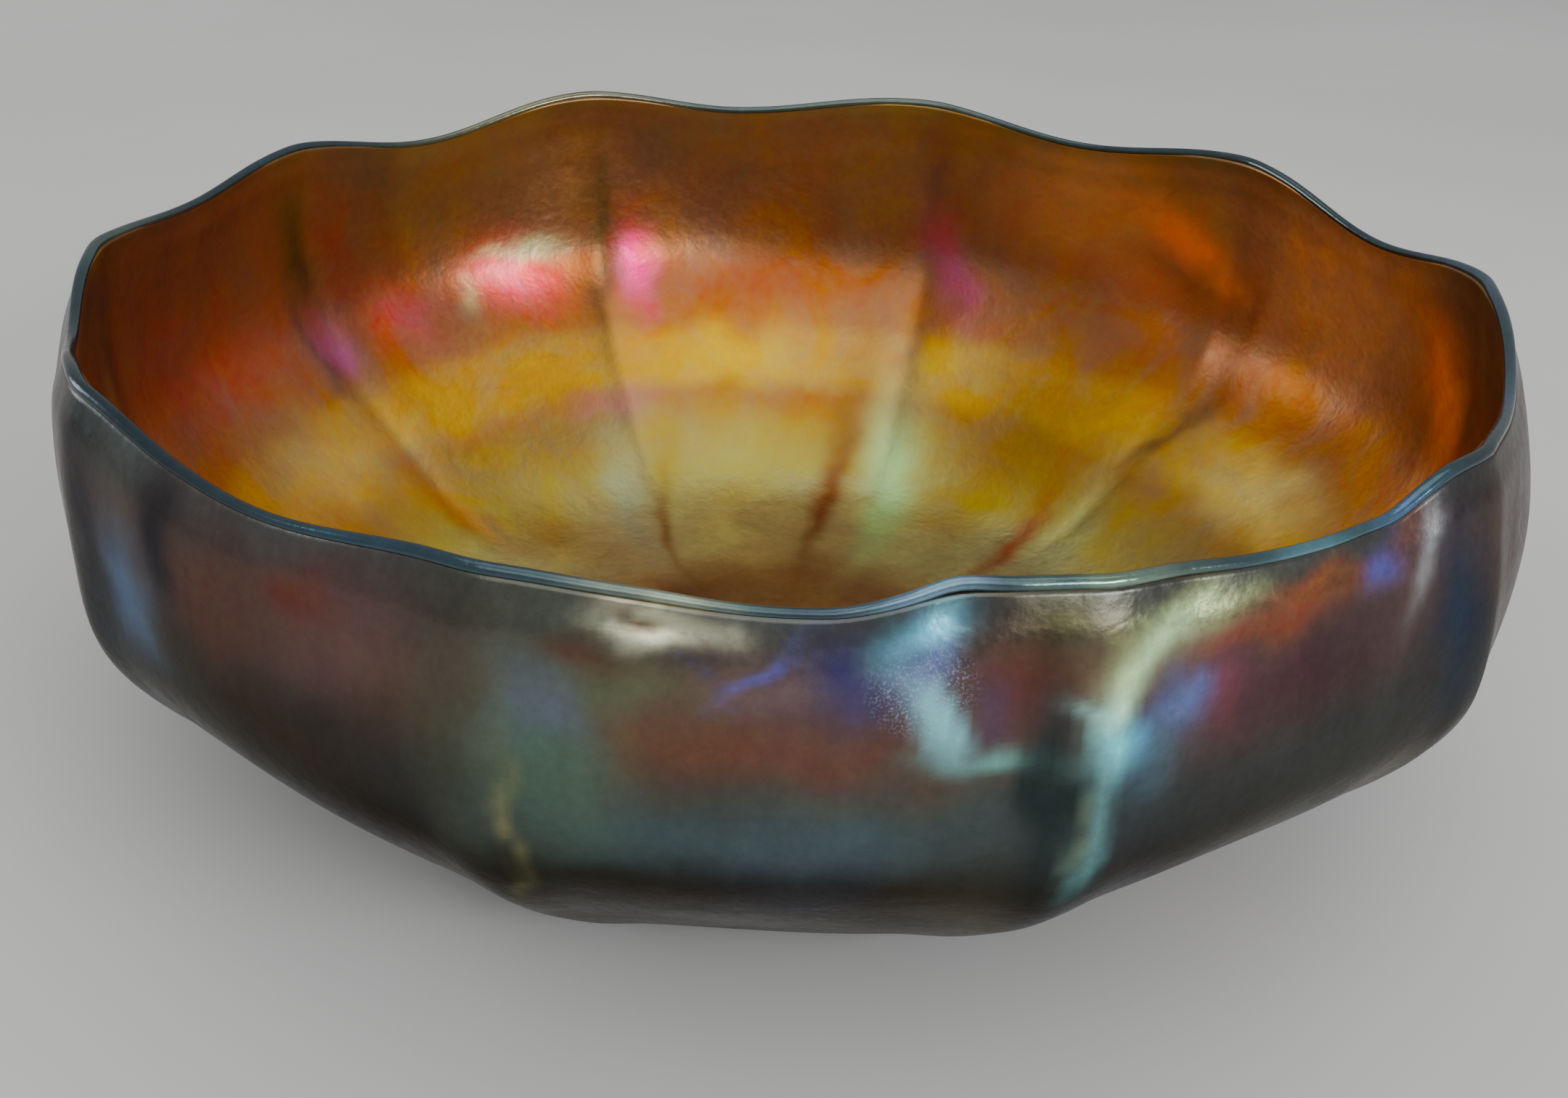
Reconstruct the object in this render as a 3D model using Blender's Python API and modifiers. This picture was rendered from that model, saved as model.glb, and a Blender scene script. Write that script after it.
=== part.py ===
"""Art glass bowl: ten pressed ribs, a hand-waved lip, a lustred casing over a gold lining.

The glass is turned first, as a gather on the pipe is, and the turned layers are then
shaped together: ten ribs from the dip mould, flat panels between them, and a lip that
was pulled up and outward by hand near each rib. The origin is at the middle of the
resting face, +Z is up, and azimuths run from +Y towards +X.
"""

import math

import bmesh
import bpy
from mathutils import Vector
from mathutils.geometry import interpolate_bezier

COLLECTION = "art_glass_bowl"

# The turned outline of the casing, in metres: (radius, height).
LIP = Vector((0.1245, 0.0865))
BELLY = Vector((0.1272, 0.0540))
HAUNCH = Vector((0.0905, 0.0100))
RING_OUTER = Vector((0.0660, 0.0))
RING_INNER = Vector((0.0440, 0.0))
RECESS_RADIUS = 0.0400
RECESS_HEIGHT = 0.0030

# Curve handles of the three stretches above the resting ring.
UNDERSIDE_HANDLES = (Vector((0.0765, 0.0001)), Vector((0.0845, 0.0040)))
SHOULDER_HANDLES = (Vector((0.1000, 0.0195)), Vector((0.1255, 0.0395)))
WALL_HANDLES = (Vector((0.1283, 0.0640)), Vector((0.1281, 0.0790)))
UNDERSIDE_POINTS = 4
SHOULDER_POINTS = 7
WALL_POINTS = 6

# Glass thickness of each layer at the lip and at the base, and the gap between layers.
CASING_AT_LIP = 0.0012
CASING_AT_BASE = 0.0026
LINING_AT_LIP = 0.0011
LINING_AT_BASE = 0.0024
LAYER_GAP = 0.0004

# The ribs, at the uneven spacing of hand work (degrees), and the panels between them.
RIBS = (16, 53, 91, 129, 162, 197, 233, 267, 300, 336)
RIB_HEIGHT = 0.0016
RIB_HALF_WIDTH = 0.0058
RIB_HEIGHT_AT_LIP = 0.35
PANEL_FLATNESS = 0.52
PANEL_FLATNESS_AT_LIP = 0.10
SHOULDER_HEIGHT = 0.0250
RIB_FADE_START = 0.0670
RIB_FADE_END = 0.0980
STEPS_PER_PANEL = 8
STEPS_AROUND = STEPS_PER_PANEL * len(RIBS)
RIB_CROWDING = 0.5

# The lip as it was tooled: (azimuth in degrees, lift in millimetres) of each crest and dip.
LIP_WAVE = (
    (13, 2.8), (33, -1.2), (53, 3.0), (73, -1.8), (91, 2.6),
    (112, -0.6), (133, 2.4), (140, -1.2), (169, 2.0), (178, -2.0),
    (199, 0.7), (214, -2.1), (234, 2.9), (250, -1.4), (265, 1.4),
    (283, -1.2), (299, 1.5), (315, -2.3), (335, 3.2), (353, -0.5),
)
WAVE_START = 0.0400
LIP_FLARE = 0.35
FLARE_START = 0.0600

# One side of the belly sagged outward while the glass was soft.
SAG = 0.0030
SAG_AZIMUTH = math.radians(112.0)
SAG_SPREAD = math.radians(34.0)

# The fire-polished bead on the lip.
BEAD_RADIUS = 0.00125
BEAD_SWELL = 0.16
BEAD_GAP = 0.0004
BEAD_ROUNDNESS = 2

# The button of glass that closes the pontil mark.
BUTTON_RADIUS = 0.0190
BUTTON_THICKNESS = 0.0016
BUTTON_HEIGHT = 0.0008
BUTTON_EDGE = 0.0005
BUTTON_EDGE_STEPS = 2
BUTTON_SIDES = 48

# Colour of each kind of glass, with its roughness and how metallic its lustre is.
BLUE_BRONZE_LUSTRE = ((0.11, 0.15, 0.17), 0.28, 0.85)
GOLD_LUSTRE = ((0.55, 0.30, 0.07), 0.24, 0.80)
TEAL_BEAD = ((0.12, 0.24, 0.24), 0.18, 0.70)
AMBER_GLASS = ((0.30, 0.16, 0.05), 0.12, 0.0)

MILLIMETRE = 0.001
FULL_TURN = 360.0
CREASE_ANGLE = math.radians(30.0)
WELD_DISTANCE = 0.00001


def clear_scene():
    for item in list(bpy.data.objects):
        bpy.data.objects.remove(item, do_unlink=True)


def make_collection():
    collection = bpy.data.collections.new(COLLECTION)
    bpy.context.scene.collection.children.link(collection)
    return collection


def glass(name, look):
    """A material for one kind of glass."""
    colour, roughness, metallic = look
    material = bpy.data.materials.new(name)
    material.use_nodes = True
    shader = material.node_tree.nodes["Principled BSDF"]
    shader.inputs["Base Color"].default_value = (*colour, 1.0)
    shader.inputs["Roughness"].default_value = roughness
    shader.inputs["Metallic"].default_value = metallic
    return material


def smooth_step(low, high, value):
    share = min(max((value - low) / (high - low), 0.0), 1.0)
    return share * share * (3.0 - 2.0 * share)


def flat(point):
    return Vector((point[0], point[1], 0.0))


def curved_run(start, handles, end, count):
    """Points along one curved stretch, leaving out its first."""
    run = interpolate_bezier(flat(start), flat(handles[0]), flat(handles[1]), flat(end), count + 1)
    return [Vector((point.x, point.y)) for point in run[1:]]


def outer_outline():
    """The casing's outer face from the resting ring up to the lip."""
    outline = [RING_OUTER.copy()]
    outline += curved_run(RING_OUTER, UNDERSIDE_HANDLES, HAUNCH, UNDERSIDE_POINTS)
    outline += curved_run(HAUNCH, SHOULDER_HANDLES, BELLY, SHOULDER_POINTS)
    outline += curved_run(BELLY, WALL_HANDLES, LIP, WALL_POINTS)
    return outline


def inward_normal(outline, index):
    """The direction into the glass at one point; level at the lip and upright at the ring."""
    if index == len(outline) - 1:
        return Vector((-1.0, 0.0))
    if index == 0:
        return Vector((0.0, 1.0))
    along = (outline[index + 1] - outline[index - 1]).normalized()
    return Vector((-along.y, along.x))


def layer_face(depth_at_lip, depth_at_base):
    """A face that lies inside the outer outline, deeper at the base than at the lip."""
    outline = outer_outline()
    face = []
    for index, point in enumerate(outline):
        rise = point.y / LIP.y
        depth = depth_at_base + (depth_at_lip - depth_at_base) * rise
        face.append(point + inward_normal(outline, index) * depth)
    return face


def bowl_floor(face):
    """The point on the axis that closes a face, lifted to clear the recess under it."""
    return Vector((0.0, face[0].y + RECESS_HEIGHT))


def casing_outline():
    """Up the casing's inner face, over its edge, down its outer face and across its foot."""
    inner = layer_face(CASING_AT_LIP, CASING_AT_BASE)
    outer = outer_outline()
    foot = [RING_INNER, Vector((RECESS_RADIUS, RECESS_HEIGHT)), Vector((0.0, RECESS_HEIGHT))]
    return [bowl_floor(inner)] + inner + outer[::-1] + foot


def lining_outline():
    """Up the gold face, over its edge and down the face that meets the casing."""
    near = CASING_AT_LIP + LAYER_GAP
    near_base = CASING_AT_BASE + LAYER_GAP
    inner = layer_face(near + LINING_AT_LIP, near_base + LINING_AT_BASE)
    outer = layer_face(near, near_base)
    return [bowl_floor(inner)] + inner + outer[::-1] + [bowl_floor(outer)]


def lip_lift(azimuth):
    """Height of the tooled wave at one azimuth, easing from each crest to the next dip."""
    degrees = math.degrees(azimuth) % FULL_TURN
    marks = LIP_WAVE + ((LIP_WAVE[0][0] + FULL_TURN, LIP_WAVE[0][1]),)
    if degrees < marks[0][0]:
        degrees += FULL_TURN
    for (start, before), (end, after) in zip(marks, marks[1:]):
        if start <= degrees <= end:
            share = (1.0 - math.cos(math.pi * (degrees - start) / (end - start))) / 2.0
            return (before + (after - before) * share) * MILLIMETRE
    return 0.0


def panel(index):
    """The azimuth where one panel starts, and its width, both in radians."""
    edges = RIBS + (RIBS[0] + FULL_TURN,)
    return math.radians(edges[index]), math.radians(edges[index + 1] - edges[index])


def panel_of(azimuth):
    """The start and width of the panel at one azimuth: the one whose start was passed last."""
    passed = [(azimuth - panel(index)[0]) % math.tau for index in range(len(RIBS))]
    return panel(passed.index(min(passed)))


def crowded(step):
    """Azimuth of a step around the bowl; steps start at the first rib and crowd near each rib."""
    turned, share = divmod(step / STEPS_PER_PANEL, 1.0)
    start, width = panel(int(turned) % len(RIBS))
    return start + width * (share - RIB_CROWDING * math.sin(math.tau * share) / math.tau)


def from_rib(azimuth):
    """Angle to the nearest rib."""
    start, width = panel_of(azimuth)
    along = (azimuth - start) % math.tau
    return min(along, width - along)


def panel_radius(azimuth):
    """Radius of a polygon with its corners on the ribs, as a share of its mean over a panel."""
    half_width = panel_of(azimuth)[1] / 2.0
    from_middle = half_width - from_rib(azimuth)
    mean = (1.0 + 2.0 * math.cos(half_width)) / 3.0
    return math.cos(half_width) / math.cos(from_middle) / mean


def sag(height, azimuth):
    """Outward sag of the belly, full below its middle and gone at the lip."""
    across = (azimuth - SAG_AZIMUTH + math.pi) % math.tau - math.pi
    held = smooth_step(BELLY.y, LIP.y, height) ** 2
    return SAG * math.exp(-((across / SAG_SPREAD) ** 2)) * (1.0 - held)


def shaped(radius, height, azimuth):
    """Where a point of the turned glass ends up after the ribs and the lip are made."""
    fade = smooth_step(RIB_FADE_START, RIB_FADE_END, radius)
    towards_lip = smooth_step(SHOULDER_HEIGHT, LIP.y, height)
    flatness = PANEL_FLATNESS + (PANEL_FLATNESS_AT_LIP - PANEL_FLATNESS) * towards_lip
    rib = RIB_HEIGHT * (1.0 + (RIB_HEIGHT_AT_LIP - 1.0) * towards_lip)
    across = from_rib(azimuth) * radius / RIB_HALF_WIDTH
    lift = lip_lift(azimuth)
    waved = smooth_step(WAVE_START, LIP.y, height)
    flared = smooth_step(FLARE_START, LIP.y, height)
    turned = radius * (1.0 + fade * flatness * (panel_radius(azimuth) - 1.0))
    ribbed = turned + fade * rib * math.exp(-across * across)
    out = ribbed + fade * sag(height, azimuth) + lift * LIP_FLARE * flared
    return Vector((out * math.sin(azimuth), out * math.cos(azimuth), height + lift * waved))


def turned_mesh(name, outline):
    """The solid that an outline sweeps when it turns about the vertical axis."""
    mesh = bpy.data.meshes.new(name + "_outline")
    points = [(point.x, 0.0, point.y) for point in outline]
    mesh.from_pydata(points, [(i, i + 1) for i in range(len(points) - 1)], [])
    blank = bpy.data.objects.new(name + "_outline", mesh)
    bpy.context.scene.collection.objects.link(blank)
    screw = blank.modifiers.new("Turn", "SCREW")
    screw.axis = "Z"
    screw.steps = STEPS_AROUND
    screw.render_steps = STEPS_AROUND
    screw.use_merge_vertices = True
    screw.merge_threshold = WELD_DISTANCE
    graph = bpy.context.evaluated_depsgraph_get()
    solid = bpy.data.meshes.new_from_object(blank.evaluated_get(graph))
    solid.name = name
    bpy.data.objects.remove(blank, do_unlink=True)
    return solid


def press_into_mould(mesh):
    """Gives turned glass its ribs, its flat panels and its waved lip."""
    work = bmesh.new()
    work.from_mesh(mesh)
    bmesh.ops.remove_doubles(work, verts=work.verts, dist=WELD_DISTANCE)
    for vertex in work.verts:
        radius = math.hypot(vertex.co.x, vertex.co.y)
        turn = math.atan2(vertex.co.x, vertex.co.y) % math.tau
        azimuth = crowded(turn * STEPS_AROUND / math.tau)
        vertex.co = shaped(radius, vertex.co.z, azimuth)
    bmesh.ops.triangulate(work, faces=work.faces, quad_method="SHORT_EDGE")
    bmesh.ops.recalc_face_normals(work, faces=work.faces)
    work.to_mesh(mesh)
    work.free()
    mesh.shade_smooth()
    mesh.set_sharp_from_angle(angle=CREASE_ANGLE)


def place(name, data, material, collection):
    data.materials.append(material)
    item = bpy.data.objects.new(name, data)
    collection.objects.link(item)
    return item


def blown_layer(name, outline, material, collection):
    mesh = turned_mesh(name, outline)
    press_into_mould(mesh)
    return place(name, mesh, material, collection)


def lip_bead(collection, material):
    """The rounded bead that wraps the edges of both layers, thicker over the crests."""
    curve = bpy.data.curves.new("lip_bead", "CURVE")
    curve.dimensions = "3D"
    curve.bevel_depth = BEAD_RADIUS
    curve.bevel_resolution = BEAD_ROUNDNESS
    spline = curve.splines.new("POLY")
    spline.points.add(STEPS_AROUND - 1)
    spline.use_cyclic_u = True
    wall = CASING_AT_LIP + LAYER_GAP + LINING_AT_LIP
    crest = max(lift for _, lift in LIP_WAVE) * MILLIMETRE
    for index, point in enumerate(spline.points):
        azimuth = crowded(index)
        swell = 1.0 + BEAD_SWELL * lip_lift(azimuth) / crest
        middle = shaped(LIP.x - wall / 2.0, LIP.y, azimuth)
        middle.z += BEAD_RADIUS * swell + BEAD_GAP
        point.co = (*middle, 1.0)
        point.radius = swell
    return place("lip_bead", curve, material, collection)


def pontil_button(collection, material):
    """The small disc under the base, seated in the ground recess and clear of the table."""
    mesh = bpy.data.meshes.new("pontil_button")
    work = bmesh.new()
    bmesh.ops.create_cone(
        work, cap_ends=True, segments=BUTTON_SIDES, depth=BUTTON_THICKNESS,
        radius1=BUTTON_RADIUS, radius2=BUTTON_RADIUS,
    )
    work.to_mesh(mesh)
    work.free()
    mesh.shade_smooth()
    mesh.set_sharp_from_angle(angle=CREASE_ANGLE)
    button = place("pontil_button", mesh, material, collection)
    button.location.z = BUTTON_HEIGHT + BUTTON_THICKNESS / 2.0
    rounding = button.modifiers.new("Edge", "BEVEL")
    rounding.width = BUTTON_EDGE
    rounding.segments = BUTTON_EDGE_STEPS
    return button


def build():
    clear_scene()
    collection = make_collection()
    blue_lustre = glass("blue_bronze_lustre", BLUE_BRONZE_LUSTRE)
    gold_lustre = glass("gold_lustre", GOLD_LUSTRE)
    bead_lustre = glass("teal_bead", TEAL_BEAD)
    plain_glass = glass("amber_glass", AMBER_GLASS)
    blown_layer("outer_casing", casing_outline(), blue_lustre, collection)
    blown_layer("inner_lining", lining_outline(), gold_lustre, collection)
    lip_bead(collection, bead_lustre)
    pontil_button(collection, plain_glass)


build()
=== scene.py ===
"""Looks of the art glass bowl: a lustred casing, a gold lining, the lip bead and the pontil button.

The glass follows the frame's turned outline, ribs, panels and waved lip at a fine step, and adds
what hand work leaves: a pinched neck and creases under the lip, grooves behind the ribs, slow
ripples and small pits. The lustre is painted as soft patches, placed by azimuth (degrees from +Y
towards +X) and by distance down the wall from the lip (millimetres). Some patches and bands are
painted highlights, painted reflections and painted shade.
"""

import math

import bpy
import numpy as np
from mathutils import Matrix, Vector
from mathutils.geometry import interpolate_bezier


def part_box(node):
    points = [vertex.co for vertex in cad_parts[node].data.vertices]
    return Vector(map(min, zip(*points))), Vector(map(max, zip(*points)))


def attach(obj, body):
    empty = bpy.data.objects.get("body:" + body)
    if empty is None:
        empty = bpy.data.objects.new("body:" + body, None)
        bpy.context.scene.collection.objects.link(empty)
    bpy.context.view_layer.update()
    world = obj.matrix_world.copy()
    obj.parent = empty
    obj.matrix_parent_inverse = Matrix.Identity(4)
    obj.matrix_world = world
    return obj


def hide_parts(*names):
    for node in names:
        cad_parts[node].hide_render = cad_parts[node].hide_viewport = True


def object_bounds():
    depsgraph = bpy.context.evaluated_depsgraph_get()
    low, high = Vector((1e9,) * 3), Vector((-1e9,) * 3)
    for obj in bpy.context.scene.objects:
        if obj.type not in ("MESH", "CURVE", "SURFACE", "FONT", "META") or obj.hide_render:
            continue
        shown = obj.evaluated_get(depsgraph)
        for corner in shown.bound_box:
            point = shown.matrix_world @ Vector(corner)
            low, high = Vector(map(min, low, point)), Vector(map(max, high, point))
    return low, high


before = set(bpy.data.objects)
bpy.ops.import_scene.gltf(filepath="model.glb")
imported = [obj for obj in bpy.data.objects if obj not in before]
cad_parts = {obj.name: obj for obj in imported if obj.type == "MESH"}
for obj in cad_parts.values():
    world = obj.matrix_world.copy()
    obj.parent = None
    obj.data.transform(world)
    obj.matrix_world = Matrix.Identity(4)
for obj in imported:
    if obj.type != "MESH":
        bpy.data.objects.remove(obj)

cad_low, cad_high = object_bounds()
casing_low, casing_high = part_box("outer_casing")
_, bead_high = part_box("lip_bead")

# The width that the sizes below were drawn at, and the casing's width in the frame against it.
DRAWN_WIDTH = 0.26138
SCALE = (casing_high.x - casing_low.x) / DRAWN_WIDTH
MM = 0.001
TAU = math.tau

# The turned outline: (radius, height) in metres, with the curve handles between its points.
LIP = (0.1245, 0.0865)
BELLY = (0.1272, 0.0540)
HAUNCH = (0.0905, 0.0100)
RING_OUTER = (0.0660, 0.0)
RING_INNER = (0.0440, 0.0)
RECESS_RADIUS = 0.0400
RECESS_HEIGHT = 0.0030
UNDERSIDE_HANDLES = ((0.0765, 0.0001), (0.0845, 0.0040))
SHOULDER_HANDLES = ((0.1000, 0.0195), (0.1255, 0.0395))
WALL_HANDLES = ((0.1283, 0.0640), (0.1281, 0.0790))

# How finely the faces are drawn: rows along each part of the outline, and steps around the axis.
# A face that the other layer hides keeps one row in four.
UNDERSIDE_ROWS = 14
SHOULDER_ROWS = 62
WALL_ROWS = 46
FLOOR_ROWS = 34
STEPS_AROUND = 480
HIDDEN_ROW_STEP = 4

# How many times the curvature of the outline, and of the gold face, is evened out.
EASING_PASSES = 30
LINING_EASING_PASSES = 60

# The foot: rows across the resting ring and the recess, and the margin left beside their edges.
RING_ROWS = 6
RECESS_ROWS = 8
FOOT_MARGIN = 0.0020

# How far the middle point of a floor stands above the row next to it.
CAP_RISE = 0.0001

# Thickness of the casing and of the lining, and the gap between them, in metres.
CASING_AT_LIP = 0.0012
CASING_AT_BASE = 0.0026
LINING_AT_LIP = 0.0011
LINING_AT_BASE = 0.0024
LAYER_GAP = 0.0004

# Pressed ribs by azimuth, with their size in metres, and the panels between them: flatness goes
# from 0 for round to 1 for flat. Both grow softer from the shoulder to the lip, where the ribs
# keep a share of their height. The rounding of their corners is in degrees. The gold face shows
# only a share of them, and they fade in between two radii under the bowl.
RIBS = (16, 53, 91, 129, 162, 197, 233, 267, 300, 336)
RIB_HEIGHT = 0.0016
RIB_HALF_WIDTH = 0.0058
RIB_HEIGHT_AT_LIP = 0.35
PANEL_FLATNESS = 0.52
PANEL_FLATNESS_AT_LIP = 0.10
RIB_ROUNDING = 1.6
INNER_RIB_SHARE = 0.42
INNER_RIB_ROUNDING = 4.0
SHOULDER_HEIGHT = 0.0250
RIB_FADE_START = 0.0670
RIB_FADE_END = 0.0980

# The glass runs a little past the lip mark, up to its rounded edge, in rows at shares of the rise.
LIP_RISE = 0.0018
LIP_LEAN = 0.0008
LIP_ROW_SHARES = (0.34, 0.68, 1.0)

# The tooled wave of the lip, as (azimuth, height in mm) of each crest and dip. Crests flare
# outward, and one side of the belly sags outward.
LIP_WAVE = (
    (13, 2.8), (33, -1.2), (53, 3.0), (73, -1.8), (91, 2.6),
    (112, -0.6), (133, 2.4), (140, -1.2), (169, 2.0), (178, -2.0),
    (199, 0.7), (214, -2.1), (234, 2.9), (250, -1.4), (265, 1.4),
    (283, -1.2), (299, 1.5), (315, -2.3), (335, 3.2), (353, -0.5),
)
WAVE_START = 0.0400
LIP_FLARE = 0.35
FLARE_START = 0.0600
SAG = 0.0030
SAG_AZIMUTH = 112.0
SAG_SPREAD = 34.0

# The bead on the edge: its radius and gap set where its top lies, and the oval that is drawn is
# lower and slimmer. It swells over the crests of the wave.
BEAD_RADIUS = 0.00125
BEAD_SWELL = 0.16
BEAD_GAP = 0.0004
BEAD_HALF_HEIGHT = 0.00085
BEAD_SLIMNESS = 0.78
BEAD_SIDES = 20

# Dents in the wall: (azimuth, down, half width in degrees, half height in mm, slant, depth in mm).
# The slant is how many degrees the mark moves for each millimetre down. Depth is into the glass.
WALL_DENTS = (
    (187.0, 0.4, 3.6, 2.0, 0.0, 0.55),
    (170.4, 0.5, 1.9, 4.5, 0.0, 1.15),
    (167.4, 11.0, 2.6, 8.0, 0.0, 0.75),
    (180.4, 4.0, 0.9, 4.0, 0.55, 0.16),
    (163.6, 14.0, 1.2, 14.0, 0.0, 0.45),
    (156.8, 3.0, 2.8, 7.0, 0.15, 0.55),
    (193.0, 14.0, 3.2, 8.0, 0.0, 0.40),
    (157.0, 13.0, 2.4, 5.0, 0.0, 0.35),
    (150.0, 8.0, 8.0, 3.0, 0.6, 0.25),
    (137.4, 5.0, 1.6, 7.0, 0.2, 0.24),
    (142.0, 2.5, 1.8, 3.0, 0.0, 0.30),
    (132.0, 16.0, 3.0, 12.0, -0.1, 0.35),
    (209.0, 6.5, 4.0, 3.0, 0.0, 0.30),
    (204.0, 14.0, 4.0, 8.0, 0.0, 0.25),
    (226.0, 18.0, 3.0, 9.0, 0.0, 0.55),
    (222.0, 8.0, 2.0, 8.0, 0.0, -0.20),
    (325.0, 38.0, 7.0, 9.0, 0.2, 0.45),
    (311.0, 41.0, 5.0, 8.0, 0.0, 0.35),
    (340.0, 40.0, 3.0, 9.0, 0.0, 0.40),
    (21.0, 38.0, 4.0, 10.0, 0.3, 0.35),
    (47.0, 22.0, 5.0, 8.0, 0.6, 0.50),
    (87.0, 24.0, 6.0, 12.0, 0.3, 0.45),
)

# The pinched neck under the lip, in millimetres. It is deepest between ribs, and its depth varies
# round the bowl about a mean, by a swing.
NECK_DEPTH = 0.09
NECK_DOWN = 4.2
NECK_HALF = 2.6
NECK_MEAN = 0.75
NECK_SWING = 0.45

# Slow ripples of the wall: depth in mm, length in metres, how far they lean into the glass, and
# how many millimetres down they have grown to their full depth.
RIPPLE_DEPTH = 0.22
RIPPLE_LENGTH = 0.062
RIPPLE_BIAS = 1.5
RIPPLE_GROWTH = 12.0
RIPPLE_SEED = 5

# The lip's taper: millimetres that each visible face draws in, and how far down it does so.
LIP_TAPER = 0.36
LIP_TAPER_DOWN = 4.6

# Grooves behind the ribs on the gold face: depth in mm, half width in degrees, and where they
# start, stop and fade, in millimetres down.
GROOVE_DEPTH = 0.34
GROOVE_HALF = 1.5
GROOVE_START = 8.0
GROOVE_STOP = 128.0
GROOVE_FADE = 14.0

# Pits in the faces: (azimuth, down, radius in mm, depth in mm). The gold face is taken to be
# LINING_PIT_RADIUS metres from the axis where its pits are.
CASING_PITS = (
    (186, 27.5, 0.9, 0.25), (158, 8.0, 0.5, 0.15), (163, 28.5, 0.5, 0.18), (207, 12.0, 0.5, 0.12),
)
LINING_PITS = (
    (350, 113, 1.1, 0.30), (333, 14, 0.6, 0.16), (330, 24, 0.5, 0.14), (2, 137, 0.8, 0.2),
)
LINING_PIT_RADIUS = 0.09


def linear(colour):
    """An sRGB colour of 0 to 255 as the linear values that shaders use."""
    share = np.asarray(colour, float) / 255.0
    return np.where(share <= 0.04045, share / 12.92, ((share + 0.055) / 1.055) ** 2.4)


def smooth_step(low, high, value):
    share = np.clip((value - low) / (high - low), 0.0, 1.0)
    return share * share * (3.0 - 2.0 * share)


def ripples(points, length, seed, waves=18):
    """A smooth random field of about unit size, made of plane waves of about one length."""
    draw = np.random.default_rng(seed)
    ways = draw.normal(size=(waves, 3))
    ways /= np.linalg.norm(ways, axis=1, keepdims=True)
    stretch = draw.uniform(0.7, 1.4, waves)
    phases = draw.uniform(0.0, TAU, waves)
    turns = (points @ ways.T) * (TAU / length) * stretch + phases
    return np.sin(turns).sum(axis=-1) * math.sqrt(2.0 / waves)


def curved_run(start, handles, end, count):
    run = interpolate_bezier(
        *(Vector((*p, 0.0)) for p in (start, *handles, end)), count + 1
    )
    return [(p.x, p.y) for p in run[1:]]


def wall_outline():
    """The casing's outer face from the resting ring up to the lip, as rows of (radius, height)."""
    rows = [RING_OUTER]
    rows += curved_run(RING_OUTER, UNDERSIDE_HANDLES, HAUNCH, UNDERSIDE_ROWS)
    rows += curved_run(HAUNCH, SHOULDER_HANDLES, BELLY, SHOULDER_ROWS)
    rows += curved_run(BELLY, WALL_HANDLES, LIP, WALL_ROWS)
    rows += [(LIP[0] - LIP_LEAN * share, LIP[1] + LIP_RISE * share) for share in LIP_ROW_SHARES]
    return eased(np.array(rows), EASING_PASSES)


def eased(rows, passes):
    """Rows of an outline with their curvature evened out, and the two ends kept."""
    for _ in range(passes):
        rows[1:-1] = (rows[:-2] + 2.0 * rows[1:-1] + rows[2:]) / 4.0
    return rows


OUTLINE = wall_outline()
AZIMUTHS = np.arange(STEPS_AROUND) * (360.0 / STEPS_AROUND)


def inward_normals(outline):
    """The direction into the glass at each row; level at the lip and upright at the ring."""
    along = np.gradient(outline, axis=0)
    along /= np.linalg.norm(along, axis=1, keepdims=True)
    normals = np.stack([-along[:, 1], along[:, 0]], axis=1)
    normals[0] = (0.0, 1.0)
    normals[-1] = (-1.0, 0.0)
    return normals


def down_from_lip(rows):
    """Millimetres along a face below the lip mark, for rows that run up to its edge."""
    steps = np.linalg.norm(np.diff(rows, axis=0), axis=1)
    return (np.concatenate([np.cumsum(steps[::-1])[::-1], [0.0]]) - LIP_RISE) / MM


def layer_face(at_lip, at_base):
    """Rows of a face inside the outer one, by at_lip metres at the lip and at_base at the base."""
    rise = OUTLINE[:, 1:] / LIP[1]
    return OUTLINE + inward_normals(OUTLINE) * (at_base + (at_lip - at_base) * rise)


def with_floor(face):
    """Adds the rows of the bowl's floor below a face, from its middle out to the ring."""
    radii = face[0, 0] * (np.arange(1, FLOOR_ROWS) / FLOOR_ROWS)
    rise = 1.0 - smooth_step(0.0, 1.0, radii / face[0, 0])
    return np.vstack([np.stack([radii, face[0, 1] + RECESS_HEIGHT * rise], axis=1), face])


def turned_between(azimuth, start):
    """Degrees from start round to azimuth, from -180 to 180."""
    return (azimuth - start + 180.0) % 360.0 - 180.0


def lip_lift(azimuth):
    """Height of the tooled wave, easing from each crest to the next dip."""
    marks = np.array(LIP_WAVE + ((LIP_WAVE[0][0] + 360, LIP_WAVE[0][1]),), float)
    turned = np.where(azimuth < marks[0, 0], azimuth + 360.0, azimuth)
    index = np.clip(np.searchsorted(marks[:, 0], turned, side="right") - 1, 0, len(marks) - 2)
    start, before = marks[index, 0], marks[index, 1]
    end, after = marks[index + 1, 0], marks[index + 1, 1]
    share = (1.0 - np.cos(np.pi * (turned - start) / (end - start))) / 2.0
    return (before + (after - before) * share) * MM


def panels(azimuth):
    """Degrees to the nearest rib, and the width of the panel, at each azimuth."""
    starts = np.array(RIBS, float)
    ends = np.append(starts[1:], starts[0] + 360.0)
    turned = np.where(azimuth < starts[0], azimuth + 360.0, azimuth)
    index = np.clip(np.searchsorted(starts, turned, side="right") - 1, 0, len(starts) - 1)
    width = ends[index] - starts[index]
    along = turned - starts[index]
    return np.minimum(along, width - along), width


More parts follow.
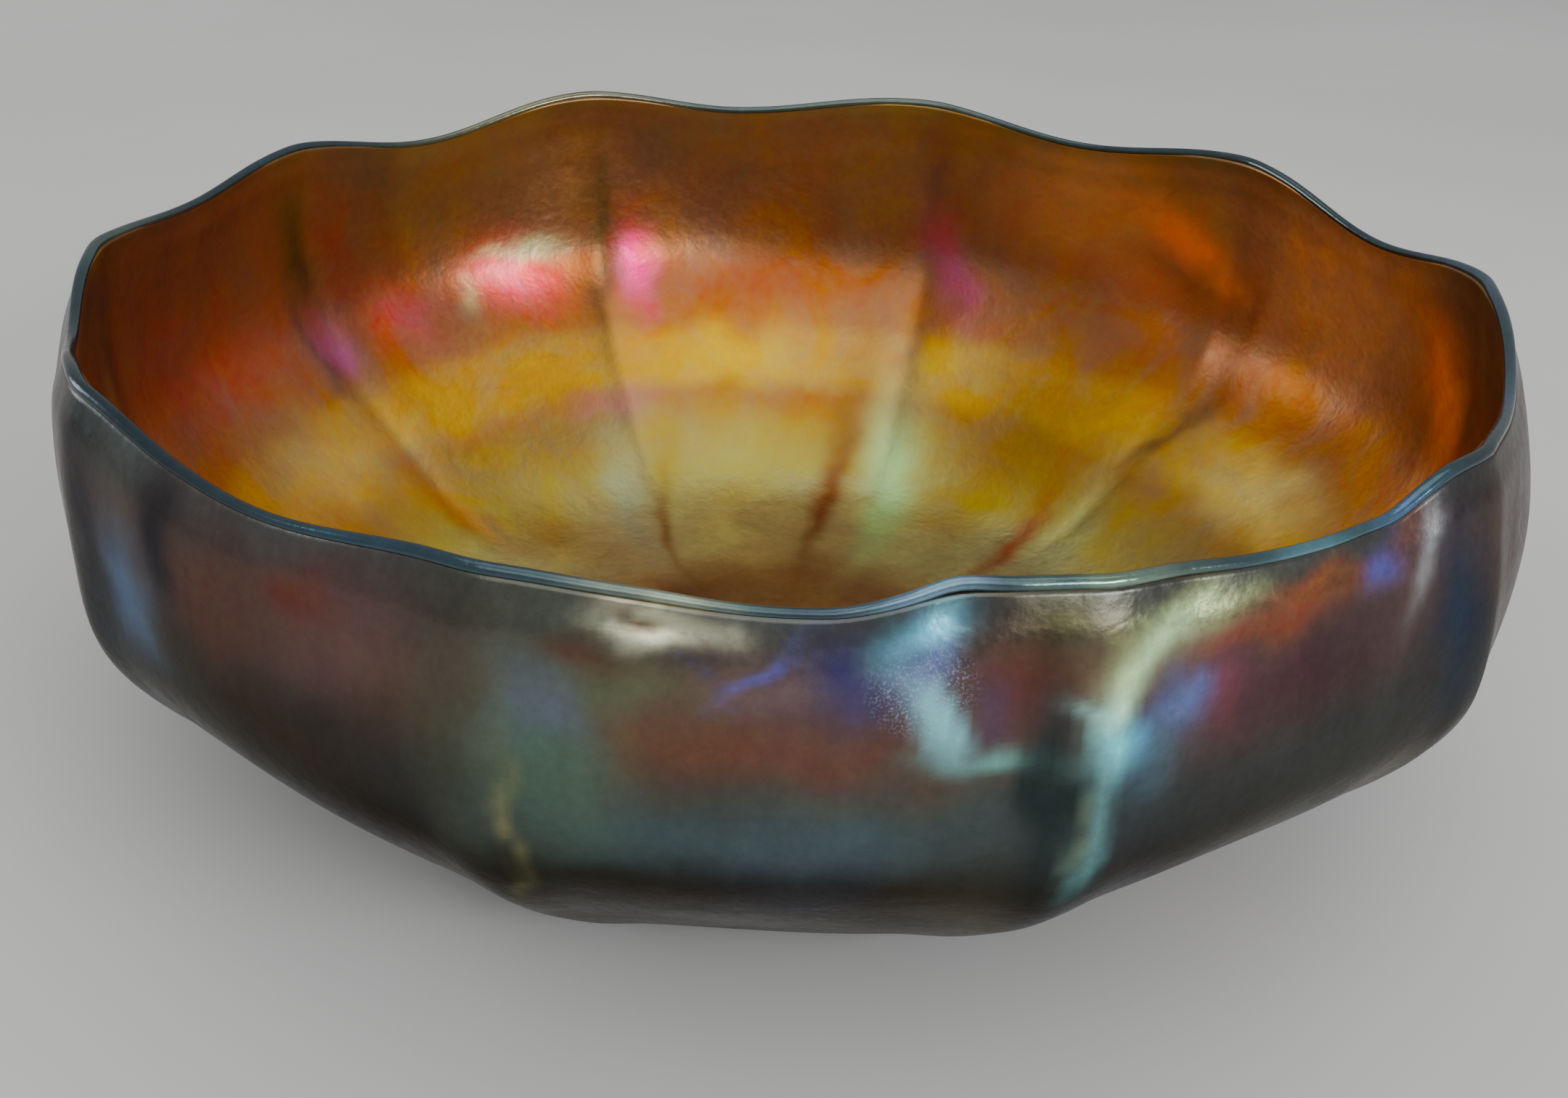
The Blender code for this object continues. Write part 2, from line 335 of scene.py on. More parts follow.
def shaped(radius, height, azimuth, share=1.0, rounding=RIB_ROUNDING):
    """Where turned glass ends up after the ribs and lip are made: arrays of radius and height.

    Share is how much of the ribs and panels a face shows, and rounding their softness in degrees.
    """
    from_rib, width = (np.radians(part) for part in panels(azimuth))
    fade = smooth_step(RIB_FADE_START, RIB_FADE_END, radius)
    towards_lip = smooth_step(SHOULDER_HEIGHT, LIP[1], height)
    flatness = PANEL_FLATNESS + (PANEL_FLATNESS_AT_LIP - PANEL_FLATNESS) * towards_lip
    rib = share * RIB_HEIGHT * (1.0 + (RIB_HEIGHT_AT_LIP - 1.0) * towards_lip)
    across = from_rib * radius / RIB_HALF_WIDTH
    half = width / 2.0
    rounded = np.hypot(from_rib, math.radians(rounding))
    corner = np.cos(half) / np.cos(half - rounded) / ((1.0 + 2.0 * np.cos(half)) / 3.0)
    lift = lip_lift(azimuth)
    held = smooth_step(BELLY[1], LIP[1], height) ** 2
    sag = SAG * np.exp(-((turned_between(azimuth, SAG_AZIMUTH) / SAG_SPREAD) ** 2)) * (1.0 - held)
    turned = radius * (1.0 + fade * share * flatness * (corner - 1.0))
    out = turned + fade * (rib * np.exp(-across * across) + sag)
    out = out + lift * LIP_FLARE * smooth_step(FLARE_START, LIP[1], height)
    return out, height + lift * smooth_step(WAVE_START, LIP[1], height)


def bump_at(azimuth, down, marks):
    """Sum of soft dents, each a bell in azimuth and in distance down the wall, in millimetres."""
    total = np.zeros(np.broadcast(azimuth, down).shape)
    for centre, low, half, tall, slant, depth in marks:
        across = turned_between(azimuth, centre + slant * (down - low)) / half
        along = (down - low) / tall
        total = total + depth * np.exp(-across * across - along * along)
    return total


def wall_work(azimuth, down):
    """Depth of the hand work shared by every face of the wall, in millimetres into the glass."""
    from_rib, width = panels(azimuth)
    turn = np.radians(azimuth)
    bay = np.sin(np.pi * from_rib / width) ** 2
    uneven = NECK_MEAN + NECK_SWING * np.sin(turn * 3.0 + 1.0) * np.sin(turn * 7.0)
    neck = NECK_DEPTH * bay * uneven * np.exp(-(((down - NECK_DOWN) / NECK_HALF) ** 2))
    spot = np.stack(
        np.broadcast_arrays(np.sin(turn) * BELLY[0], np.cos(turn) * BELLY[0], down * MM), axis=-1
    )
    grown = smooth_step(0.0, RIPPLE_GROWTH, down)
    slow = RIPPLE_DEPTH * grown * (ripples(spot, RIPPLE_LENGTH, RIPPLE_SEED) + RIPPLE_BIAS)
    return bump_at(azimuth, down, WALL_DENTS) + neck + slow


def rib_grooves(azimuth, down):
    """Depth of the narrow grooves along the ribs, in millimetres."""
    from_rib, _ = panels(azimuth)
    across = from_rib / GROOVE_HALF
    begun = smooth_step(GROOVE_START, GROOVE_START + GROOVE_FADE, down)
    run = begun * (1.0 - smooth_step(GROOVE_STOP - GROOVE_FADE, GROOVE_STOP, down))
    return GROOVE_DEPTH * np.exp(-across * across) * run


def lip_taper(down):
    """How far each visible face draws in towards the middle of the wall near the lip."""
    return LIP_TAPER * (1.0 - smooth_step(0.0, LIP_TAPER_DOWN, down))


def pits_at(azimuth, down, radius, pits):
    """Depth of the small round pits, in millimetres, on a wall of about the given radius."""
    total = np.zeros(np.broadcast(azimuth, down).shape)
    for centre, low, size, depth in pits:
        across = np.radians(turned_between(azimuth, centre)) * radius / MM
        distance = np.hypot(across, down - low) / size
        total = total + depth * np.exp(-(distance ** 4))
    return total


def turned_points(radius, height):
    """Points at every step around the axis, from arrays of radius and height."""
    turn = np.radians(AZIMUTHS)
    return np.stack([radius * np.sin(turn), radius * np.cos(turn), height], axis=-1)


def face_points(rows, work_down, extra=0.0, share=1.0, rounding=RIB_ROUNDING):
    """Points of one face, (row, step, 3). Extra is more depth into the glass, in millimetres."""
    radius, azimuth = rows[:, :1], AZIMUTHS[None, :]
    out, height = shaped(radius, rows[:, 1:], azimuth, share, rounding)
    along = np.gradient(rows, axis=0)
    along /= np.linalg.norm(along, axis=1, keepdims=True)
    clear_of_foot = smooth_step(RING_OUTER[0], HAUNCH[0], radius)
    depth = (wall_work(azimuth, work_down[:, None]) + extra) * MM * clear_of_foot
    return turned_points(out - depth * along[:, 1:], height + depth * along[:, :1])


# ---------------------------------------------------------------- lustre, painted highlights and painted shade

# The lists hold sRGB colours as they look; these powers turn them into reflectances. Light meets
# the gold face more than once, and the outside once.
CASING_POWER = 1.14
LINING_POWER = 0.82
BEAD_POWER = 1.25

# Base colours down each face: (distance from the lip in mm, sRGB colour), with painted bands noted.
CASING_FALL = (
    (-3, (96, 100, 96)), (2, (92, 86, 80)), (8, (104, 84, 76)), (18, (92, 76, 68)),
    # From 39 to 48 mm down the dark brown is painted shade and a painted reflection of a dark
    # ground.
    (26, (66, 72, 72)), (33, (56, 62, 62)), (39, (42, 38, 28)), (48, (38, 31, 20)),
    (62, (56, 48, 30)), (82, (66, 66, 52)), (125, (76, 68, 46)), (190, (60, 52, 38)),
)
LINING_FALL = (
    (-3, (118, 92, 52)), (3, (112, 70, 46)), (14, (110, 66, 42)), (28, (120, 68, 38)),
    # The bright gold from 57 to 68 mm down is partly a painted reflection of light from the front.
    (42, (140, 76, 36)), (52, (158, 90, 34)), (57, (186, 126, 34)), (68, (186, 136, 30)),
    (74, (154, 104, 34)), (86, (152, 126, 46)), (96, (152, 142, 58)), (112, (172, 180, 112)),
    (128, (164, 172, 112)), (136, (146, 134, 82)), (143, (124, 98, 60)), (190, (104, 80, 50)),
)
BEAD_FALL = ((-4, (70, 96, 106)), (4, (84, 104, 108)))

# Patches of lustre, and of painted highlights, painted reflections and painted shade where noted:
# (azimuth, down, half width in degrees, half height in mm, slant, colour, strength).
CASING_PATCHES = (
    (148, 14.0, 9.0, 10.0, 0.0, (92, 62, 68), 0.95),
    (145, 32.0, 17.0, 11.0, 0.0, (74, 75, 72), 0.85),
    (150, 5.6, 7.0, 3.0, 1.2, (150, 88, 62), 0.90),
    (146, 2.6, 6.0, 1.8, 0.9, (176, 104, 70), 0.70),
    (154.4, 13.0, 1.9, 6.0, 0.0, (130, 74, 90), 0.75),
    (157.6, 13.5, 1.7, 3.6, 0.0, (110, 124, 186), 0.90),
    (158.4, 20.0, 1.8, 5.0, 0.0, (96, 124, 138), 0.75),
    (132.5, 18.0, 3.2, 15.0, -0.1, (44, 66, 92), 0.95),
    # A painted highlight along a shallow dent.
    (136.8, 5.0, 0.8, 6.0, 0.16, (170, 174, 176), 0.60),
    (141.3, 3.2, 1.6, 3.0, 0.0, (118, 118, 214), 0.90),
    (122, 14.0, 5.0, 14.0, 0.0, (96, 70, 78), 0.80),
    (181, 15.5, 9.0, 6.5, 0.0, (130, 88, 68), 0.90),
    (181, 7.0, 5.0, 4.0, 0.9, (142, 116, 116), 0.55),
    (180, 24.0, 9.0, 4.0, 0.0, (96, 94, 74), 0.75),
    (181, 30.0, 15.0, 6.5, 0.0, (86, 102, 106), 0.95),
    (193, 18.0, 4.2, 16.0, 0.0, (92, 120, 104), 0.95),
    (192.3, 12.5, 2.2, 5.0, 0.0, (108, 116, 138), 0.75),
    (188, 8.0, 3.5, 4.0, 0.0, (108, 118, 84), 0.70),
    (166.6, 10.0, 3.4, 6.0, 0.0, (118, 62, 50), 0.85),
    (168.5, 13.0, 1.8, 5.0, 0.0, (92, 78, 104), 0.70),
    (176.2, 5.5, 2.2, 4.5, 0.0, (80, 80, 136), 0.85),
    # Dark lines beside the rib at 162 degrees, here and at 165.0, are painted shade on its flank.
    (164.9, 24.0, 1.2, 16.0, 0.0, (46, 58, 60), 0.90),
    # This and the next two patches: painted highlights, the hook that runs down from the cyan blob,
    # and the blob under the lip.
    (172.0, 11.5, 0.7, 6.0, -0.22, (150, 226, 238), 0.95),
    (168.6, 18.8, 2.6, 1.8, -0.8, (122, 184, 176), 0.80),
    (172.0, 1.0, 2.0, 3.4, 0.0, (128, 226, 255), 1.0),
    (172.4, 6.0, 1.3, 3.2, 0.0, (134, 150, 214), 0.75),
    # This and the next: the violet V lines, painted highlights along a shallow dent.
    (180.6, 4.4, 0.45, 4.4, 0.55, (116, 120, 196), 0.75),
    (183.4, 6.2, 0.35, 3.0, -0.4, (96, 92, 140), 0.45),
    # The cream crescent under the lip is a painted highlight, and the next patch is the dark gap in
    # its middle.
    (186.6, 1.2, 3.0, 1.7, 0.0, (240, 240, 206), 1.0),
    (187.4, 0.8, 1.7, 0.6, 0.0, (92, 50, 34), 0.90),
    (191, 5.6, 2.4, 2.0, 0.0, (112, 56, 44), 0.55),
    # Painted shade: dark olive that damps the highlight the lights put under the lip here.
    (164.6, 2.0, 2.6, 4.0, 0.0, (58, 56, 34), 0.95),
    # From here to 163.2 degrees: painted highlights of mint, cream and cyan along the rib at 162
    # degrees, partly lustre.
    (156.6, 2.6, 3.6, 2.6, 0.9, (176, 190, 126), 0.90),
    (158.6, 5.4, 2.0, 3.4, 0.55, (206, 236, 178), 0.95),
    (161.2, 11.6, 0.9, 4.2, 0.24, (206, 250, 206), 1.0),
    (160.6, 18.5, 1.5, 5.0, 0.0, (108, 176, 210), 0.85),
    (162.0, 18.5, 1.0, 5.5, 0.0, (134, 232, 240), 0.95),
    (163.2, 13.0, 1.2, 1.7, 0.0, (170, 224, 216), 0.60),
    (165.0, 23.0, 1.0, 9.0, 0.0, (46, 58, 58), 0.55),
    # This and the next: painted highlights running on down the rib at 162 degrees.
    (162.1, 33.0, 0.8, 11.0, 0.0, (112, 162, 166), 0.85),
    (162.9, 28.0, 0.40, 8.0, 0.0, (150, 170, 128), 0.40),
    (198.2, 22.0, 1.8, 24.0, 0.0, (80, 92, 74), 0.70),
    # A painted highlight on the ridge of the rib at 197 degrees, low on the wall.
    (194.8, 38.0, 0.5, 13.0, 0.0, (164, 162, 106), 0.80),
    (206, 10.0, 8.0, 9.0, 0.0, (122, 92, 88), 0.90),
    (209, 6.4, 2.8, 3.8, 0.0, (134, 64, 50), 0.60),
    (216, 13.0, 5.0, 10.0, 0.0, (118, 76, 66), 0.80),
    (212, 29.0, 13.0, 10.0, 0.0, (68, 53, 42), 0.85),
    # This and the next, low on the wall: painted shade and a painted reflection of a dark ground.
    (206, 42.0, 14.0, 7.0, 0.0, (26, 17, 8), 0.90),
    (180, 44.0, 9.0, 5.0, 0.0, (44, 34, 18), 0.55),
    (221.8, 9.0, 1.8, 9.0, 0.0, (44, 46, 58), 0.85),
    (226.0, 21.0, 2.9, 8.0, 0.0, (106, 128, 160), 0.95),
    (231, 14.0, 2.4, 18.0, 0.0, (48, 54, 66), 0.80),
    # Partly a painted reflection where the wall turns away at its edge.
    (238, 18.0, 5.0, 16.0, 0.0, (120, 112, 128), 0.60),
)
LINING_PATCHES = (
    (282, 12, 16.0, 18.0, 0.0, (102, 58, 42), 0.70),
    # Dark lines along the ribs at 298, 296.6, 336.6, 17, 18, 57.6 and 55.6 degrees are painted
    # shade on one flank of a groove; the magenta lines at 299, 340.4 and 20 degrees are painted
    # highlights on the other.
    (298, 20, 2.2, 16.0, 0.0, (54, 50, 20), 0.85),
    (303, 26, 2.2, 16.0, 0.0, (128, 40, 30), 0.60),
    (299, 43, 2.2, 6.0, 0.1, (186, 64, 140), 0.85),
    (296.6, 38, 1.0, 14.0, 0.1, (60, 56, 40), 0.80),
    # From here to 319 degrees: pink and red spots with pale and mint edges, painted highlights.
    (310, 41, 4.5, 8.0, 0.0, (198, 66, 66), 0.85),
    (325, 38, 5.0, 8.0, 0.15, (246, 62, 76), 0.95),
    (327, 31, 4.4, 2.2, 0.6, (176, 200, 132), 0.55),
    (319, 40, 1.4, 5.0, 0.0, (186, 188, 120), 0.35),
    (285, 40, 12.0, 10.0, 0.0, (172, 82, 66), 0.75),
    (276, 26, 9.0, 10.0, 0.0, (138, 66, 52), 0.70),
    (336.6, 30, 1.4, 26.0, -0.05, (66, 54, 26), 0.85),
    (340.4, 40, 1.9, 9.0, 0.0, (250, 0, 112), 0.98),
    (338.4, 12, 1.6, 10.0, 0.0, (150, 92, 52), 0.40),
    (354, 43, 12.0, 8.0, 0.0, (142, 58, 26), 0.75),
    (71, 42, 9.0, 7.0, 0.0, (130, 66, 22), 0.75),
    (350, 35, 3.0, 6.0, 0.0, (168, 112, 76), 0.35),
    (17, 16, 1.6, 13.0, 0.0, (96, 52, 48), 0.75),
    (20, 38, 2.6, 12.0, 0.25, (190, 44, 96), 0.70),
    (18, 54, 1.5, 12.0, -0.25, (128, 52, 44), 0.70),
    (47, 18, 4.0, 8.0, 0.7, (236, 112, 22), 0.90),
    (44, 31, 5.0, 12.0, 0.2, (196, 92, 24), 0.60),
    (57.6, 26, 1.5, 26.0, 0.0, (94, 40, 16), 0.90),
    (55.6, 62, 1.1, 18.0, -0.25, (96, 44, 18), 0.75),
    (71, 13, 12.0, 18.0, 0.0, (246, 160, 92), 0.90),
    (35, 12, 10.0, 16.0, 0.0, (204, 128, 78), 0.85),
    (356, 6, 14.0, 12.0, 0.0, (132, 84, 54), 0.70),
    (87, 22, 3.4, 14.0, 0.3, (246, 116, 24), 0.90),
    (92, 44, 8.0, 10.0, 0.0, (204, 110, 30), 0.60),
    # The bright gold patches 60 to 66 mm down, at 73, 352, 318, 288 and 22 degrees, are partly a
    # painted reflection of light from the front.
    (73, 63, 9.0, 8.0, 0.0, (240, 208, 104), 0.90),
    (352, 64, 9.0, 6.0, 0.0, (208, 160, 18), 0.85),
    (318, 63, 12.0, 6.0, 0.0, (186, 124, 22), 0.75),
    (322, 84, 9.0, 12.0, 0.0, (140, 98, 24), 0.60),
    (288, 66, 11.0, 11.0, 0.0, (220, 178, 78), 0.80),
    (37, 78, 8.0, 20.0, 0.0, (118, 78, 18), 0.60),
    (22, 60, 5.0, 6.0, 0.0, (206, 166, 50), 0.65),
    (334, 74, 8.0, 3.5, 0.0, (176, 82, 88), 0.55),
    (356, 76, 14.0, 4.0, 0.0, (150, 76, 36), 0.65),
    (311, 73, 9.0, 3.0, 0.0, (168, 96, 60), 0.40),
    (351, 100, 10.0, 20.0, 0.0, (168, 154, 60), 0.75),
    (349, 126, 11.0, 13.0, 0.0, (188, 192, 112), 0.75),
    # From here to 332 degrees: mint streaks and dark brown streaks by the ribs, painted highlights
    # and painted shade on the flanks of the grooves.
    (326.5, 112, 4.2, 24.0, -0.24, (150, 168, 124), 0.90),
    (20.0, 104, 4.4, 25.0, 0.12, (160, 216, 136), 0.95),
    (8.2, 104, 2.6, 32.0, -0.06, (110, 50, 8), 0.95),
    (48.0, 104, 2.4, 20.0, 0.14, (138, 50, 10), 0.92),
    (55.5, 102, 3.6, 20.0, 0.14, (156, 164, 100), 0.75),
    (332.0, 116, 1.7, 20.0, -0.30, (110, 70, 22), 0.75),
    (304, 147, 26.0, 9.0, 0.0, (68, 43, 27), 0.75),
    (301, 92, 2.4, 14.0, 0.1, (160, 84, 40), 0.70),
    (311, 102, 8.0, 20.0, 0.0, (142, 108, 22), 0.75),
    (34, 100, 8.0, 14.0, 0.0, (128, 98, 26), 0.75),
)
BEAD_PATCHES = (
    # The paler patches on the bead are partly lustre and partly painted highlights.
    (187, 0, 4.0, 9.0, 0.0, (176, 186, 160), 0.75),
    (172, 0, 3.0, 9.0, 0.0, (140, 178, 206), 0.80),
    (160, 0, 4.0, 9.0, 0.0, (150, 178, 150), 0.75),
    (147, 0, 4.0, 9.0, 0.0, (120, 176, 188), 0.70),
    (139, 0, 3.0, 9.0, 0.0, (110, 150, 190), 0.60),
    (205, 0, 8.0, 9.0, 0.0, (70, 104, 124), 0.70),
    (225, 0, 9.0, 9.0, 0.0, (58, 74, 84), 0.80),
    (250, 0, 9.0, 9.0, 0.0, (62, 96, 100), 0.70),
    (270, 0, 9.0, 9.0, 0.0, (120, 140, 132), 0.70),
    (330, 0, 16.0, 9.0, 0.0, (158, 150, 112), 0.70),
    (10, 0, 14.0, 9.0, 0.0, (128, 138, 122), 0.65),
    (60, 0, 16.0, 9.0, 0.0, (92, 106, 108), 0.70),
    (92, 0, 9.0, 9.0, 0.0, (112, 136, 156), 0.75),
    (115, 0, 7.0, 9.0, 0.0, (96, 130, 160), 0.70),
)


# Drifting tints, placed at random: (colour, length in metres, seed).
BACK_TINTS = (
    ((92, 122, 122), 0.060, 31), ((124, 84, 76), 0.066, 37), ((84, 98, 132), 0.052, 41),
    ((72, 70, 70), 0.070, 43), ((110, 104, 78), 0.046, 47),
)
FRONT_INSIDE_TINTS = (
    ((176, 96, 44), 0.050, 61), ((120, 62, 20), 0.044, 67), ((196, 150, 62), 0.040, 71),
)

# How far bands and the edges of patches wander, in millimetres, and the seeds of the fields.
CASING_WANDER, CASING_SEED = 1.0, 11
CASING_BAND_WANDER = 1.2
LINING_WANDER, LINING_SEED = 1.1, 21
LINING_BAND_WANDER = 1.0
BEAD_WANDER, BEAD_SEED = 2.0, 81
BEAD_BAND_WANDER = 1.0

# Lengths of those fields in metres, and the strength of each part.
BEND_LENGTH, SMALL_BEND_LENGTH, SMALL_BEND = 0.034, 0.013, 0.45
DRIFT_LENGTH, SHAKE_LENGTH, SHAKE = 0.011, 0.0042, 0.18
DOWN_DRIFT_LENGTH, DOWN_DRIFT = 0.013, 0.8
DEGREES_OF_DRIFT = 0.40

# The casing's tints come in away from the front (degrees) and low on the wall (mm), and fade
# under the bowl.
CASING_GRAIN = (1.0, 1.0, 0.45)
CASING_AWAY = (52.0, 74.0)
CASING_LOW = (36.0, 56.0)
CASING_UNDER = (60.0, 88.0)
CASING_TINT_EDGE = (0.35, 1.5)
CASING_TINT_SHARE, CASING_TINT_MORE, CASING_UNDER_LOSS = 0.16, 0.62, 0.55
# Pale teal lines along the ribs, away from the front, are painted highlights on the ridges.
CASING_RIB_HIGHLIGHT_COLOUR, CASING_RIB_HIGHLIGHT_START, CASING_RIB_HIGHLIGHT_SHARE = (120, 150, 142), (6.0, 26.0), 0.50

# The lining's tints come in away from the back wall (degrees), and stop short of the floor (mm).
LINING_GRAIN = (1.0, 1.0, 0.6)
LINING_AWAY = (80.0, 104.0)
LINING_TINT_END = (120.0, 140.0)
LINING_TINT_EDGE = (0.4, 1.6)
LINING_TINT_SHARE, LINING_TINT_MORE = 0.12, 0.48
# Along the ribs, away from the back wall, dark lines higher up are painted shade and pale lines
# lower down are painted highlights, on the flanks of the grooves.
RIB_SHADE_COLOUR, RIB_SHADE_END, RIB_SHADE_SHARE = (84, 44, 18), (58.0, 74.0), 0.75
RIB_HIGHLIGHT_COLOUR, RIB_HIGHLIGHT_START = (170, 180, 120), (76.0, 92.0)
RIB_HIGHLIGHT_END, RIB_HIGHLIGHT_SHARE = (122.0, 138.0), 0.7

# Half width of the painted lines along ribs, in degrees, and how much further down the wall the
# foot takes its colours from, in millimetres.
RIB_LINE_HALF = 1.5
FOOT_LUSTRE_DOWN = 20.0


def toned(colour, power):
    """Colour with its brightness raised to a power and its hue kept."""
    bright = colour @ np.array([0.2126, 0.7152, 0.0722])
    return colour * (bright ** (power - 1.0))[..., None]


def tinted(colour, tint, weight):
    """Colour moved towards an sRGB tint, by a weight from 0 to 1 at each point."""
    return colour + (linear(tint) - colour) * weight[..., None]


def fallen(down, points, stops, wander, seed):
    """The fall of colour down a face, with slow bends in its bands."""
    bend = ripples(points, BEND_LENGTH, seed)
    bend = bend + SMALL_BEND * ripples(points, SMALL_BEND_LENGTH, seed + 2)
    marks = np.array([mark for mark, _ in stops], float)
    colours = linear([colour for _, colour in stops])
    bent = down + bend * wander
    return np.stack([np.interp(bent, marks, colours[:, k]) for k in range(3)], axis=-1)


def over_patches(colour, azimuth, down, points, patches, wander, seed):
    """Lays soft-edged patches of lustre, painted highlights and painted shade over a colour, their
    edges wandering a little.
    """
    drift = ripples(points, DRIFT_LENGTH, seed) * wander
    shake = ripples(points, SHAKE_LENGTH, seed + 1) * wander * SHAKE
    warped_azimuth = azimuth + (drift + shake) * DEGREES_OF_DRIFT
    sink = ripples(points, DOWN_DRIFT_LENGTH, seed + 2) * wander * DOWN_DRIFT
    warped_down = down + sink + shake
    for centre, low, half, tall, slant, colour_there, strength in patches:
        across = turned_between(warped_azimuth, centre + slant * (down - low)) / half
        along = (warped_down - low) / tall
        colour = tinted(colour, colour_there, strength * np.exp(-across * across - along * along))
    return colour


def drifting_tints(colour, points, grain, tints, edge, reach):
    """Lays random families of tint over a colour, each as strong as reach says at a point."""
    stretched = points * np.array(grain)
    for tint, length, seed in tints:
        colour = tinted(colour, tint, smooth_step(*edge, ripples(stretched, length, seed)) * reach)
    return colour


def rib_line(azimuth):
    """A soft line along each rib, 1 in its middle."""
    from_rib, _ = panels(azimuth)
    return np.exp(-((from_rib / RIB_LINE_HALF) ** 2))


def casing_colour(azimuth, down, points):
    """The outside: listed patches at the front, some of them painted highlights and painted shade,
    drifting families of tint all round, and rib lines that are partly painted highlights.
    """
    colour = fallen(down, points, CASING_FALL, CASING_BAND_WANDER, CASING_SEED)
    away = smooth_step(*CASING_AWAY, np.abs(turned_between(azimuth, 180.0)))
    under = smooth_step(*CASING_UNDER, down)
    free = np.maximum(away, smooth_step(*CASING_LOW, down))
    reach = CASING_TINT_SHARE + CASING_TINT_MORE * free * (1.0 - CASING_UNDER_LOSS * under)
    colour = drifting_tints(colour, points, CASING_GRAIN, BACK_TINTS, CASING_TINT_EDGE, reach)
    # Painted highlights along the ribs.
    rib = rib_line(azimuth) * smooth_step(*CASING_RIB_HIGHLIGHT_START, down) * away * (1.0 - under)
    colour = tinted(colour, CASING_RIB_HIGHLIGHT_COLOUR, rib * CASING_RIB_HIGHLIGHT_SHARE)
    colour = over_patches(
        colour, azimuth, down, points, CASING_PATCHES, CASING_WANDER, CASING_SEED
    )
    return toned(colour, CASING_POWER)


def lining_colour(azimuth, down, points):
    """The gold face: patches on the far wall, some of them painted highlights, painted reflections
    and painted shade, drifting tints where nothing is placed, and painted shade and highlights
    along the ribs.
    """
    colour = fallen(down, points, LINING_FALL, LINING_BAND_WANDER, LINING_SEED)
    near = smooth_step(*LINING_AWAY, np.abs(turned_between(azimuth, 0.0)))
    above_floor = 1.0 - smooth_step(*LINING_TINT_END, down)
    reach = (LINING_TINT_SHARE + LINING_TINT_MORE * near) * above_floor
    colour = drifting_tints(
        colour, points, LINING_GRAIN, FRONT_INSIDE_TINTS, LINING_TINT_EDGE, reach
    )
    rib = rib_line(azimuth) * near
    # Painted shade along the ribs higher up, and painted highlights lower down.
    rib_shade = rib * (1.0 - smooth_step(*RIB_SHADE_END, down)) * RIB_SHADE_SHARE
    rib_highlight = rib * smooth_step(*RIB_HIGHLIGHT_START, down) * (1.0 - smooth_step(*RIB_HIGHLIGHT_END, down))
    colour = tinted(colour, RIB_SHADE_COLOUR, rib_shade)
    colour = tinted(colour, RIB_HIGHLIGHT_COLOUR, rib_highlight * RIB_HIGHLIGHT_SHARE)
    colour = over_patches(
        colour, azimuth, down, points, LINING_PATCHES, LINING_WANDER, LINING_SEED
    )
    return colour ** LINING_POWER


# ---------------------------------------------------------------- meshes

def quads_between(rings, next_rings):
    """Faces that join each numbered ring of points to its next one, all the way round."""
    here = np.arange(STEPS_AROUND)[None, :]
    after = (here + 1) % STEPS_AROUND
    start, beyond = rings[:, None] * STEPS_AROUND, next_rings[:, None] * STEPS_AROUND
    corners = [start + here, start + after, beyond + after, beyond + here]
    return np.stack(corners, axis=-1).reshape(-1, 4).tolist()


def painted_mesh(name, points, faces, shades):
    """A smooth mesh with a colour of lustre and painted light at each point, and its faces turned
    outward.
    """
    mesh = bpy.data.meshes.new(name)
    mesh.from_pydata((points * SCALE).tolist(), [], faces)
    mesh.shade_smooth()
    full = np.ones((len(shades), 4), np.float32)
    full[:, :3] = shades
    layer = mesh.color_attributes.new("lustre_and_light", "FLOAT_COLOR", "POINT")
    layer.data.foreach_set("color", full.ravel())
    mesh.calc_loop_triangles()
    spots = np.array([v.co for v in mesh.vertices], float)
    corners = np.array([t.vertices for t in mesh.loop_triangles])
    if np.linalg.det(spots[corners]).sum() < 0.0:
        mesh.flip_normals()
    return mesh


def closed_skin(name, faces, low_cap, high_cap, colours):
    """Joins rows of points into one closed body: rings of quads, and a fan at each end."""
    rings = np.concatenate(faces)
    count = len(rings)
    points = np.concatenate([rings.reshape(-1, 3), [low_cap, high_cap]])
    steps = STEPS_AROUND
    last = (count - 1) * steps
    fan_low = [(count * steps, (i + 1) % steps, i) for i in range(steps)]
    fan_high = [(count * steps + 1, last + i, last + (i + 1) % steps) for i in range(steps)]
    joined = np.arange(count - 1)
    shades = np.concatenate([c.reshape(-1, 3) for c in colours])
    shades = np.concatenate([shades, shades[:1], shades[-1:]])
    quads = quads_between(joined, joined + 1)
    return painted_mesh(name, points, quads + fan_low + fan_high, shades)


def place(name, mesh, material, node, slot):
    piece = bpy.data.objects.new(name, mesh)
    bpy.context.scene.collection.objects.link(piece)
    mesh.materials.append(material)
    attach(piece, "root")
    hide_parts(node)


def over_steps(down):
    """Azimuth and distance down as full grids, for rows at the given distances."""
    return np.broadcast_arrays(AZIMUTHS[None, :], down[:, None])


def thinned(rows):
    """The rows of a face that the other layer hides, fewer of them, with the last kept."""
    return np.concatenate([rows[:-1:HIDDEN_ROW_STEP], rows[-1:]])


def foot_points():
    """From the resting ring in to the ground recess and across it, as points of its rows."""
    ring = [(r, 0.0) for r in np.linspace(RING_OUTER[0] - FOOT_MARGIN, RING_INNER[0], RING_ROWS)]
    across = np.linspace(RECESS_RADIUS - FOOT_MARGIN, FOOT_MARGIN, RECESS_ROWS)
    recess = [(r, RECESS_HEIGHT) for r in (RECESS_RADIUS, *across)]
    rows = np.array(ring + recess)
    return turned_points(rows[:, :1], np.broadcast_to(rows[:, 1:], (len(rows), STEPS_AROUND)))


